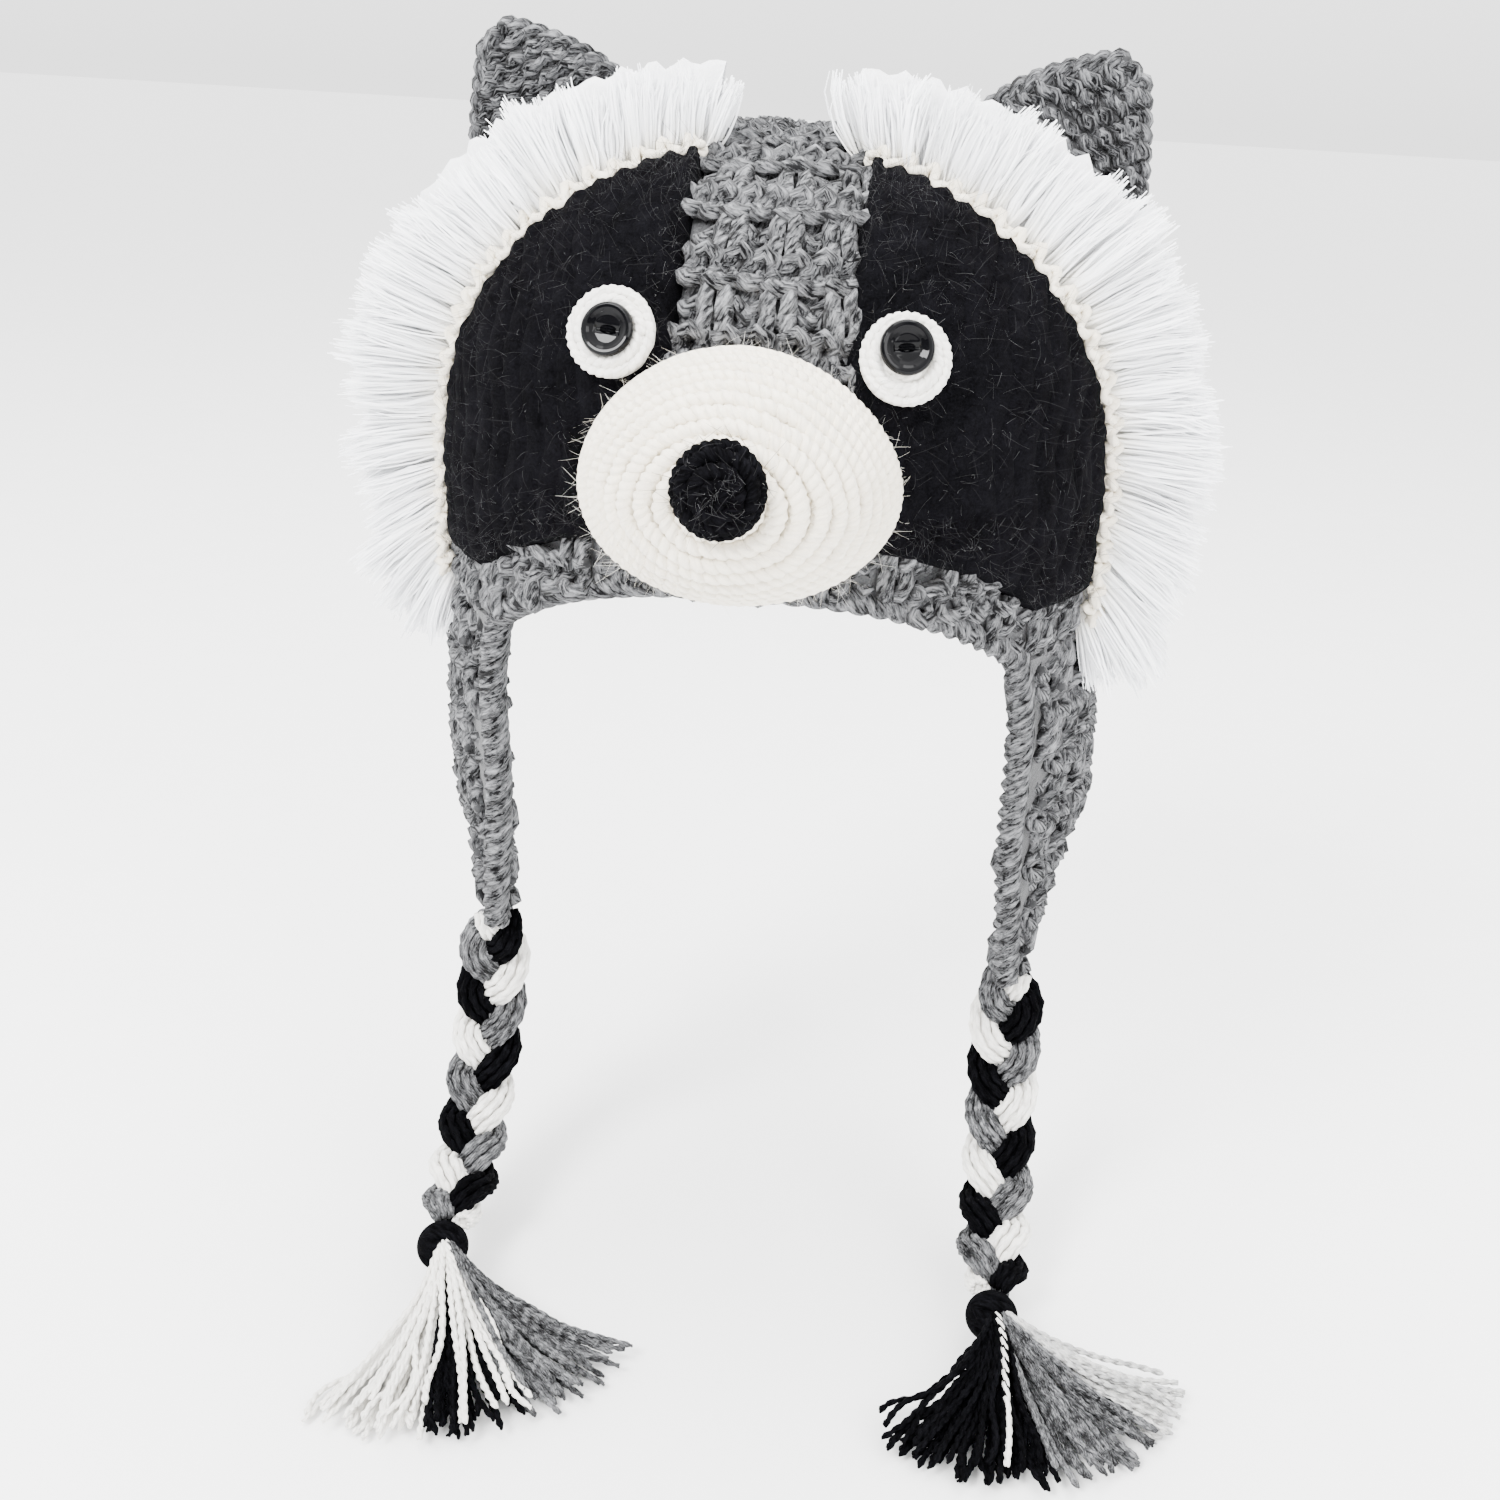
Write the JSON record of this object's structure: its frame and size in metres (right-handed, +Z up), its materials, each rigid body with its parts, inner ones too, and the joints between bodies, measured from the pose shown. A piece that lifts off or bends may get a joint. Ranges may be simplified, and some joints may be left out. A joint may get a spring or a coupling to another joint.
{
  "type": "animal hat",
  "caption": "Knitted raccoon hat with ear flaps, a stuffed snout, button eyes, white fur trims, small ears and braided ties that end in yarn tassels.",
  "frame": {"origin": "top of the head hollow, where the hat sits on a head", "axes": "+Z up, -Y the way the face looks, +X to the right as seen from the front"},
  "size_m": [0.2653, 0.2578, 0.3581],
  "materials": {
    "grey_yarn": "chunky melange wool knit",
    "black_yarn": "fuzzy felted crochet wool",
    "white_yarn": "plied wool yarn",
    "cream_yarn": "tight crochet wool",
    "white_fur": "long soft pile",
    "tassel_yarn": "loose plied yarn in white, grey and black",
    "button_gloss": "polished black"
  },
  "bodies": {
    "root": {"crown": "grey_yarn", "muzzle": "cream_yarn", "nose": "black_yarn", "ear_flap_left": "grey_yarn", "eye_patch_left": "black_yarn", "fur_trim_left": "white_fur", "ear_left": "grey_yarn", "eye_disc_left": "white_yarn", "eye_button_left": "button_gloss", "tie_knot_left": "black_yarn", "tassel_left": "tassel_yarn", "braid_left_black": "black_yarn", "braid_left_white": "white_yarn", "braid_left_grey": "grey_yarn", "ear_flap_right": "grey_yarn", "eye_patch_right": "black_yarn", "fur_trim_right": "white_fur", "ear_right": "grey_yarn", "eye_disc_right": "white_yarn", "eye_button_right": "button_gloss", "tie_knot_right": "black_yarn", "tassel_right": "tassel_yarn", "braid_right_black": "black_yarn", "braid_right_white": "white_yarn", "braid_right_grey": "grey_yarn"}
  },
  "joints": []
}
